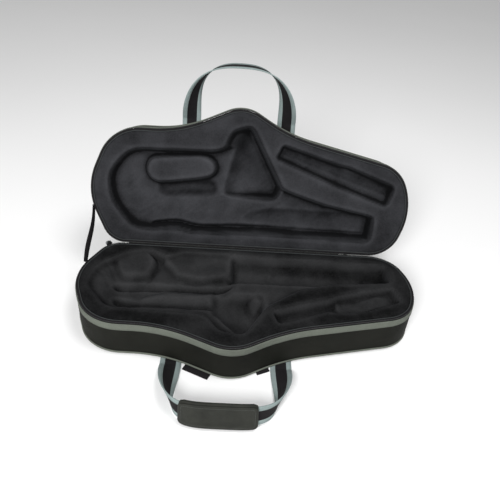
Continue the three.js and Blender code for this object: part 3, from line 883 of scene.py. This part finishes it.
def base_mould():
    """The base's pockets: two channels under two pads, the bell, and the neck with loose folds."""
    mould = Mould()
    trough = [
        (-238, -24, 34), (-294, -70, 50), (-306, -130, 44), (-252, -192, 50), (-72, -199, 26),
        (-50, -236, 20), (-4, -248, 14), (38, -172, 24), (100, -122, 60), (170, -98, 120),
        (286, -84, 7), (285, -25, 7), (-20, -18, 20), (-128, -16, 24), (-160, -36, 18), (-196, -13, 22),
    ]
    tube = round_channel(mould, -60.0, 36.0, 32.0, 68.0)
    floor = 54.0 + 14.0 * ease((-232 - mould.x) / 50.0)
    floor += (tube - floor) * ease((mould.x + 46) / 26.0)
    mould.press(trough, floor, 9.0)
    channel = [
        (-262, -108, 12), (-196, -96, 10), (-88, -102, 12), (-26, -94, 8), (-20, -112, 8), (-60, -122, 10),
        (-150, -120, 12), (-250, -130, 12),
    ]
    mould.press(channel, 44.0, 10.0, soft=4)
    front_channel = [
        (-262, -138, 12), (-196, -150, 12), (-124, -150, 12), (-66, -140, 12), (-20, -132, 8),
        (-20, -156, 8), (-70, -166, 12), (-160, -166, 12), (-244, -170, 12),
    ]
    mould.press(front_channel, 43.0, 11.0, soft=4)
    bell = bell_surface(mould, (24, -190), 72.0, 30.0, (-0.9, 0.43), 96.0, 17.0)
    bell_pocket = [
        (-70, -192, 20), (-50, -232, 18), (-5, -245, 12), (36, -168, 16), (30, -112, 18), (-66, -104, 22),
    ]
    mould.scoop(bell_pocket, bell, 12.0)
    ridge = [
        (-206, -142, 10), (-148, -120, 14), (-88, -122, 14), (-48, -112, 10), (-62, -142, 12),
        (-122, -153, 14), (-196, -154, 10),
    ]
    mould.swell(ridge, 61.0, 13.0, soft=5)
    front_rise = [(-226, -188, 10), (-74, -198, 12), (-60, -172, 12), (-142, -163, 14), (-220, -165, 12)]
    mould.swell(front_rise, 59.0, 13.0, soft=5)
    back_pad = [(-276, -20, 20), (-204, -4, 20), (-176, -40, 20), (-186, -90, 24), (-246, -98, 26)]
    mould.swell(back_pad, 70.0 + 0.1 * (mould.y + 40), 9.0, soft=10)
    long_pad = [
        (-178, -36, 14), (-140, -4, 14), (-26, -4, 6), (-24, -76, 14), (-88, -92, 20), (-140, -82, 18),
    ]
    hollow = 5.0 * np.exp(-((mould.x + 62) / 26) ** 2 - ((mould.y + 46) / 18) ** 2)
    mould.swell(long_pad, 68.0 + 0.12 * (mould.y + 40) - hollow, 9.0, soft=4)
    bell_rise = [
        (-4, -146, 16), (12, -106, 20), (56, -96, 18), (86, -108, 18), (48, -146, 18), (18, -164, 14),
    ]
    mould.swell(bell_rise, 63.0 - 0.1 * (mould.x - 30), 16.0, soft=5)
    neck = [
        (45, -180, 5), (57, -214, 6), (86, -203, 10), (148, -175, 8), (168, -178, 6), (218, -171, 10),
        (294, -137, 9), (282, -96, 8), (224, -112, 8), (172, -131, 8), (150, -142, 8),
    ]
    mould.press(neck, 55.0, 7.0, soft=1)
    folds = 8.0 * np.abs(np.mod((mould.x - 0.45 * (mould.y + 140) - 166) / 34.0, 2.0) - 1.0)
    sleeve = [(162, -134, 6), (224, -116, 6), (280, -100, 6), (290, -134, 6), (216, -166, 8), (166, -172, 6)]
    mould.swell(sleeve, 57.0 + folds, 6.0, soft=2)
    mould.creases([
        ([(-26, -14), (-22, -60), (-24, -120)], 3.0, 2.6),
        ([(-284, -58), (-268, -72), (-252, -100)], 1.8, 2.6),
        ([(-292, -84), (-276, -96), (-262, -120)], 1.4, 3.0),
        ([(-178, -26), (-176, -60), (-190, -96)], 2.4, 3.0),
        ([(-118, -92), (-96, -96), (-74, -90)], 1.6, 2.4),
        ([(210, -26), (218, -60), (214, -92)], 1.6, 2.6),
        ([(236, -40), (246, -62), (238, -88)], 2.6, 3.2),
        ([(60, -30), (52, -44)], 1.6, 2.4),
        ([(150, -32), (140, -48)], 1.4, 2.4),
        ([(62, -200), (150, -162)], 1.0, 2.2),
    ])
    mould.soften()
    mould.wrinkle(31)
    return mould


def lining(half, mould, shades):
    """Plush skin over the mould, and the foam core under it."""
    loop = LOOP - OUTWARD * LINING_INSET
    plan, quads, _ = sheet_on_plan(loop, LINING_CELL)
    top = mould.at(plan)
    points, faces = closed_sheet(plan, quads, top, top - LINING)
    # Painted light and shade from the mould's form, passed to the plush's colour as the third component of
    # its cloth place.
    painted_shading = np.tile(mould.at(plan, mould.painted_shading(*shades)), 2)
    cloth = np.column_stack([points[:, :2], painted_shading])
    replaces = [f"{half}_lining"]
    add_piece(f"{half}_plush_lining", half, points, faces, plush[half], half, replaces, cloth)
    core_loop = LOOP - OUTWARD * (COVER + 1.2)
    plan, quads, _ = sheet_on_plan(core_loop, CORE_CELL)
    samples = [mould.at(plan + np.array([dx, dy])) for dx in (-5, 0, 5) for dy in (-5, 0, 5)]
    under = np.minimum(np.min(samples, axis=0) - LINING - 1.5, LINING_TOP - 4)
    points, faces = closed_sheet(plan, quads, under, np.full(len(plan), PANEL_TOP + 0.4))
    add_piece(f"{half}_foam_core", half, points, faces, foam, half, [f"{half}_foam_body"])


# ---- Webbing ----

def smooth_curve(points, samples):
    """Points at even steps along a centripetal Catmull-Rom curve."""
    points = [np.array(p, float) for p in points]
    points = [2 * points[0] - points[1]] + points + [2 * points[-1] - points[-2]]
    dense = []
    for p0, p1, p2, p3 in zip(points, points[1:], points[2:], points[3:]):
        steps = [np.linalg.norm(b - a) ** 0.5 for a, b in ((p0, p1), (p1, p2), (p2, p3))]
        knots = np.cumsum([0.0] + steps)
        for t in np.linspace(knots[1], knots[2], 40, endpoint=False):
            level = [p0, p1, p2, p3]
            for size in (1, 2, 3):
                level = [
                    ((knots[k + size] - t) * level[k] + (t - knots[k]) * level[k + 1])
                    / (knots[k + size] - knots[k])
                    for k in range(4 - size)
                ]
            dense.append(level[0])
    dense.append(points[-2])
    dense = np.array(dense)
    along = lengths(dense)
    return resample(np.linspace(0, along[-1], samples), along, dense)


def handle_turn(y, arch):
    """How far the webbing has turned on edge where a handle is at the given y."""
    return arch["turn"] * np.clip((HANDLE_Y - y) / arch["reach"], 0, 1)


def handle_path(arch, samples=260):
    """Middle line of a handle with its sewn ends: a superellipse arch, its inner edge on the ground."""
    left, right = LEG_X
    start = HANDLE_Y - 0.6
    middle, half_span = (left + right) / 2, (right - left) / 2
    angle = np.linspace(0, math.pi, 41)
    across = -np.sign(np.cos(angle)) * np.abs(np.cos(angle)) ** (2 / arch["squareness"])
    out = np.sin(angle) ** (2 / arch["squareness"])
    loop = np.column_stack([middle + half_span * across, start - (arch["reach"] - 0.6) * out, 0 * out])
    sewn = [(left, start + ANCHOR_LENGTH, 0.0), (left, start + ANCHOR_LENGTH / 2, 0.0)]
    other = [(right, y, z) for _, y, z in reversed(sewn)]
    path = smooth_curve(sewn + list(loop) + other, samples)
    turn = handle_turn(path[:, 1], arch)
    edge_lift = WEBBING_WIDTH / 2 * np.sin(np.minimum(turn, math.pi / 2))
    path[:, 2] = LEG_Z + edge_lift + arch["lift"] * turn / arch["turn"]
    return path


def strap_frames(path, arch):
    """Side and face direction along a handle: level at the legs, turned up on edge at the arch."""
    tangent = unit(np.gradient(path, axis=0))
    turn = handle_turn(path[:, 1], arch)
    outward = unit(np.column_stack([tangent[:, 1], -tangent[:, 0], np.zeros(len(path))]))
    side = outward * np.cos(turn)[:, None] + np.array([0, 0, 1.0]) * np.sin(turn)[:, None]
    side = unit(side - tangent * (side * tangent).sum(1)[:, None])
    return side, np.cross(tangent, side)


def sweep(path, side, face, section):
    """A closed section of (across, through) swept along a path, with capped ends."""
    section = np.asarray(section, float)
    count = len(section)
    points = [path + side * across + face * through for across, through in section]
    points = np.stack(points, 1).reshape(-1, 3)
    cloth = np.zeros((len(points), 3))
    cloth[:, 0] = np.repeat(lengths(path), count)
    cloth[:, 1] = np.tile(section[:, 0], len(path))
    return points, tube_faces(len(path), count), cloth


def thin_section(width, half_thick, bevel, bevel_thick):
    """Across a narrow strap: flat, with its long edges bevelled off."""
    half = width / 2
    upper = [(half, half_thick - bevel_thick), (half - bevel, half_thick)]
    upper += [(-across, through) for across, through in reversed(upper)]
    return upper + [(across, -through) for across, through in reversed(upper)]


def webbing_section():
    """Across the webbing: thicker grey edges, a flatter black middle."""
    half, inner = WEBBING_WIDTH / 2, WEBBING_WIDTH / 2 - WEBBING_EDGE
    thin, thick = WEBBING_THICK / 2 - 0.15, WEBBING_THICK / 2 + 0.1
    upper = [
        (half, 0.4), (half - 0.5, thick), (inner + 0.4, thick), (inner, thin), (inner / 3, thin),
        (-inner / 3, thin), (-inner, thin), (-inner - 0.4, thick), (-half + 0.5, thick), (-half, 0.4),
    ]
    lower = [(across, -through) for across, through in reversed(upper)]
    return upper + lower


def webbing(name, path, side, face, half, body, replaces):
    """Black webbing with grey edges along a path."""
    section = webbing_section()
    points, faces, cloth = sweep(path, side, face, section)
    inner = WEBBING_WIDTH / 2 - WEBBING_EDGE
    count = len(section)
    grey = [abs(section[k][0] + section[(k + 1) % count][0]) / 2 > inner + 0.05 for k in range(count)]
    slots = [int(flag) for flag in grey] * (len(path) - 1) + [0, 0]
    both = [black_webbing, handle_edge]
    return add_piece(name, half, points, faces, both, body, replaces, cloth, slots)


def handle(half, arch, body):
    """A handle and its sewn ends in one piece, which bends where the ends leave the panel."""
    path = handle_path(arch)
    side, face = strap_frames(path, arch)
    replaces = [body, f"{half}_handle_anchor_left", f"{half}_handle_anchor_right"]
    piece = webbing(f"{body}_webbing", path, side, face, half, None, replaces)
    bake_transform(piece)
    points, faces = merge(box_stitches(x) for x in LEG_X)
    add_piece(f"{half}_anchor_stitches", half, points, faces, thread, half)
    return path


def box_stitches(x):
    """The sewn square with a cross on a webbing end, on the outer face of a panel."""
    wide, low, high = 13.0, HANDLE_Y + ANCHOR_LENGTH - 34, HANDLE_Y + ANCHOR_LENGTH - 6
    corners = [(x - wide, low), (x + wide, low), (x + wide, high), (x - wide, high)]
    lines = [*zip(corners, corners[1:] + corners[:1]), corners[::2], corners[1::2]]
    places, directions = [], []
    for a, b in lines:
        a, b = np.array(a), np.array(b)
        count = int(np.linalg.norm(b - a) / 3.2)
        for t in (np.arange(count) + 0.5) / count:
            places.append((*(a + t * (b - a)), LEG_Z - WEBBING_THICK / 2 + 0.2))
            directions.append((*(b - a), 0.0))
    outwards = np.tile([0.0, 0.0, -1.0], (len(places), 1))
    return stitch_row(np.array(places), np.array(directions), outwards, 2.4)


def strap_tab(name, x, y, length, turn):
    """A black webbing end that shows from under the case."""
    direction = np.array([math.cos(turn), math.sin(turn), 0.0])
    path = np.array([x, y, LEG_Z]) + np.linspace(-length / 2, length / 2, 12)[:, None] * direction
    side = np.tile([-direction[1], direction[0], 0.0], (len(path), 1))
    face = np.tile([0.0, 0.0, 1.0], (len(path), 1))
    points, faces, cloth = sweep(path, side, face, thin_section(TAB_WIDTH, 0.9, 0.6, 0.4))
    faces = [corners[::-1] for corners in faces]
    add_piece(f"{name}_webbing", "base", points, faces, black_webbing, "base", [name], cloth)


# ---- Grip ----

def grip_stretch(path, samples=60):
    """The part of the front handle's path that the grip covers."""
    side, face = strap_frames(path, FRONT_ARCH)
    arch = np.flatnonzero(path[:, 1] < HANDLE_Y - FRONT_ARCH["reach"] / 2)
    stations = np.linspace(GRIP_LEFT, GRIP_RIGHT, samples)
    path, side, face = (resample(stations, path[arch, 0], part[arch]) for part in (path, side, face))
    return path, unit(side), unit(face)


def grip_sleeve(path, side, face):
    """Padded sleeve round the webbing: a tube of soft section, pinched a little at its ends."""
    sides = 28
    angles = 2 * math.pi * np.arange(sides) / sides
    points = []
    ends = np.linspace(-1, 1, len(path))
    for outer in (True, False):
        for i in range(len(path)) if outer else reversed(range(len(path))):
            pinch = 1 - 0.12 * max(0.0, abs(ends[i]) - 0.9) / 0.1
            wide = GRIP_WIDTH / 2 * pinch if outer else WEBBING_WIDTH / 2 + 1.2
            thick = GRIP_THICK / 2 * pinch if outer else WEBBING_THICK / 2 + 0.5
            for angle in angles:
                c, s = math.cos(angle), math.sin(angle)
                across = wide * math.copysign(abs(c) ** 0.35, c)
                through = thick * math.copysign(abs(s) ** 0.7, s)
                points.append(path[i] + side[i] * across + face[i] * through)
    faces = grid_faces(2 * len(path), sides, close_rows=True, close_columns=True)
    replaces = ["grip_sleeve"]
    piece = add_piece("grip_padding", "base", points, faces, vinyl, "front_handle", replaces)


def grip_flap(path, side, face):
    """Outer layer of the grip: a stitched, lightly padded plate with rounded corners."""
    rows, columns = 25, len(path)
    half = FLAP_WIDTH / 2
    reach = (GRIP_RIGHT - GRIP_LEFT) / 2
    upper, lower = [], []
    for b in np.linspace(-half, half, rows):
        over = max(0.0, abs(b) - (half - FLAP_CORNER))
        shorten = FLAP_CORNER - math.sqrt(max(FLAP_CORNER ** 2 - over ** 2, 0.0))
        u = np.linspace(-reach + shorten, reach - shorten, columns)
        index = (u + reach) / (2 * reach) * (columns - 1)
        place, wide, front = (resample(index, np.arange(columns), part) for part in (path, side, face))
        edge = np.minimum(half - abs(b), reach - shorten - np.abs(u))
        inner = edge - FLAP_SEAM
        puff = 1.0 + 0.9 * ease(inner / 12.0) - 0.55 * np.exp(-inner ** 2)
        sag = 0.5 * ripple(np.column_stack([u, np.full_like(u, b)]), 38.0, 9) * ease(edge / 20)
        for layer, thick in ((upper, puff * ease(edge / 1.2 + 0.15)), (lower, -0.6 * ease(edge / 1.2))):
            through = GRIP_THICK / 2 + 1.5 + thick + sag
            layer.append(place + wide * b + front * through[:, None])
    upper, lower = np.array(upper), np.array(lower)
    last = (rows - 1) * columns
    rim = [(r * columns + columns, r * columns) for r in reversed(range(rows - 1))]
    rim += [(c, c + 1) for c in range(columns - 1)]
    rim += [(r * columns + columns - 1, r * columns + 2 * columns - 1) for r in range(rows - 1)]
    rim += [(last + c + 1, last + c) for c in range(columns - 1)]
    quads = grid_faces(rows, columns)
    points, faces = closed_shell(upper.reshape(-1, 3), lower.reshape(-1, 3), quads, rim)
    piece = add_piece("grip_cover", "base", points, faces, vinyl, "grip_flap", ["grip_flap"])
    recalculate(piece)
    free = np.arange(rows * columns).reshape(rows, columns)[4:-4, 3:-3]
    puff_up(piece, free.ravel())
    flap_stitches(upper, half, reach)


def puff_up(piece, free, frames=16):
    """Lets the filling press the free points of a padded piece outwards, with the cloth simulation."""
    scene = bpy.context.scene
    held = piece.vertex_groups.new(name="held")
    held.add(sorted(set(range(len(piece.data.vertices))) - set(free.tolist())), 1.0, "REPLACE")
    cloth = piece.modifiers.new("cloth", "CLOTH")
    settings = {
        "quality": 8, "mass": 0.05, "vertex_group_mass": "held", "tension_stiffness": 40.0,
        "compression_stiffness": 40.0, "shear_stiffness": 20.0, "bending_stiffness": 0.4,
        "use_pressure": True, "uniform_pressure_force": 3.0,
    }
    for name, value in settings.items():
        setattr(cloth.settings, name, value)
    cloth.point_cache.frame_end = frames
    for frame_number in range(1, frames + 1):
        scene.frame_set(frame_number)
    settled = piece.evaluated_get(bpy.context.evaluated_depsgraph_get())
    places = np.array([vertex.co for vertex in settled.data.vertices])
    piece.modifiers.remove(cloth)
    piece.vertex_groups.remove(held)
    rest = np.array([vertex.co for vertex in piece.data.vertices])
    moved = places - rest
    length = np.linalg.norm(moved, axis=1, keepdims=True)
    places = rest + moved * np.minimum(1.0, MOST_PUFF / np.maximum(length, 1e-9))
    piece.data.vertices.foreach_set("co", places.ravel())
    piece.data.update()
    scene.frame_set(1)


def flap_stitches(surface, half, reach):
    """Stitches round the flap, a seam's width in from its edge."""
    rows, columns = surface.shape[:2]
    outward = unit(np.cross(np.gradient(surface, axis=1), np.gradient(surface, axis=0)))
    if outward[rows // 2, columns // 2, 1] > 0:
        outward = -outward
    right, top = reach - FLAP_SEAM, half - FLAP_SEAM
    border, _ = rounded([(-right, -top, 5), (right, -top, 5), (right, top, 5), (-right, top, 5)], 3.2)
    i = (border[:, 1] + half) / (2 * half) * (rows - 1)
    j = (border[:, 0] + reach) / (2 * reach) * (columns - 1)
    here = between(surface, i, j)
    there = np.roll(here, -1, 0)
    points, faces = stitch_row((here + there) / 2, there - here, between(outward, i, j), 2.3)
    add_piece("grip_stitches", "base", points, faces, thread, "grip_flap")


def recalculate(piece):
    """Turns all faces to point out."""
    work = bmesh.new()
    work.from_mesh(piece.data)
    bmesh.ops.recalc_face_normals(work, faces=work.faces)
    work.to_mesh(piece.data)
    work.free()


# ---- Pieces between the halves ----

def opened(y, z):
    """A point of the closed lid, from the hinge line, where it is with the lid open."""
    return np.array([y * OPEN_COSINE + z * OPEN_SINE, -y * OPEN_SINE + z * OPEN_COSINE])


def hinge_cloth(steps=60):
    """A strip of cloth along the hinge line, folded between the halves."""
    thick, out, reach = 0.8, 1.4, HINGE_CLOTH_REACH
    fold = -math.tan(OPEN_ANGLE / 2)
    layers = []
    for offset in (out, out + thick):
        middle = np.array([offset, offset * fold])
        base_side = [np.array([offset, -reach * t]) for t in (1.0, 0.75, 0.5, 0.3)]
        lid_side = [opened(offset, reach * t) for t in (0.3, 0.5, 0.75, 1.0)]
        near = [(middle + base_side[-1]) / 2, middle, (middle + lid_side[0]) / 2]
        layers.append(base_side + near + lid_side)
    section = layers[0] + layers[1][::-1]
    points = []
    for x in np.linspace(*HINGE_CLOTH_ENDS, steps):
        wave = 0.125 * ripple([[x, 0.0]], 50.0, 3)[0]
        points.extend((x, y + wave, z + RIM) for y, z in section)
    cloth = np.array([(x, y + z, 0.0) for x, y, z in points])
    faces = tube_faces(steps, len(section))
    piece = add_piece("hinge_cloth", "base", points, faces, nylon, None, ["hinge_fabric"], cloth)
    recalculate(piece)
    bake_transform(piece)


def stay_strap():
    """Narrow strap that keeps the lid from falling back, a little slack and twisted."""
    x, y = STAY_PLACE
    clear = 0.8
    far = opened(y, -clear)
    low, high = np.array([x, y, RIM + clear]), np.array([x, far[0], RIM + far[1]])
    t = np.linspace(0, 1, 48)
    path = low + t[:, None] * (high - low)
    path[:, 0] += 2.2 * np.sin(math.pi * t) - 1.6 * np.sin(2 * math.pi * t)
    path[:, 1] -= 3.0 * np.sin(math.pi * t)
    tangent = unit(np.gradient(path, axis=0))
    turn = math.radians(20) + math.radians(10) * np.sin(1.5 * math.pi * t)
    flat = unit(np.cross(tangent, [1.0, 0.0, 0.0]))
    side = unit(np.cos(turn)[:, None] * flat + np.sin(turn)[:, None] * np.array([1.0, 0, 0]))
    side = unit(side - tangent * (side * tangent).sum(1)[:, None])
    section = thin_section(STAY_WIDTH, 0.6, 0.5, 0.35)
    points, faces, cloth = sweep(path, side, np.cross(tangent, side), section)
    slot, replaces = "black_webbing", ["stay_strap"]
    piece = add_piece("stay_webbing", "base", points, faces, black_webbing, None, replaces, cloth)
    recalculate(piece)
    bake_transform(piece)


def paint_nodes(names, material):
    """Gives CAD nodes that stay visible their material."""
    for name in names:
        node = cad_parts[name]
        node.data.materials.clear()
        node.data.materials.append(material)


# ---- The case ----

add_camera()
add_studio()
# The base's plush is a darker copy of the lid's: painted shade for its upward faces, lit less from the
# front.
plush = {
    "base": plush_material("plush", (0.0215, 0.0217, 0.0225)),
    "lid": plush_material("lid_plush", (0.0285, 0.029, 0.032)),
}
nylon = nylon_material()
grey_webbing = webbing_material("grey_webbing", (0.125, 0.137, 0.115), contrast=0.35)
handle_edge = webbing_material("handle_edge", (0.235, 0.285, 0.28), contrast=0.3)
black_webbing = webbing_material("black_webbing", (0.014, 0.013, 0.014))
cord_grey = webbing_material("lining_cord", (0.045, 0.05, 0.05), pitch=1.2, contrast=0.4)
vinyl = vinyl_material()
foam = foam_material()
zinc = zinc_material()
coil = coil_material()
thread = thread_material()

halves = (("base", "bottom_panel", base_mould), ("lid", "top_panel", lid_mould))
for half_name, panel_name, mould_of in halves:
    side_cover(half_name)
    trim_band(half_name)
    edge_piping(half_name)
    rim_tape(half_name)
    outer_panel(half_name, panel_name)
    lining(half_name, mould_of(), LINING_SHADES[half_name])

front_path = handle("base", FRONT_ARCH, "front_handle")
handle("lid", LID_ARCH, "lid_handle")
grip = grip_stretch(front_path)
grip_sleeve(*grip)
grip_flap(*grip)
strap_tab("strap_tab_left", x=-81, y=-261, length=50, turn=-0.43)
strap_tab("strap_tab_right", x=30, y=-251, length=24, turn=0.43)
hinge_cloth()
stay_strap()
paint_nodes(["zipper_slider_left", "zipper_slider_right", "zipper_pull_left", "zipper_pull_right"], zinc)
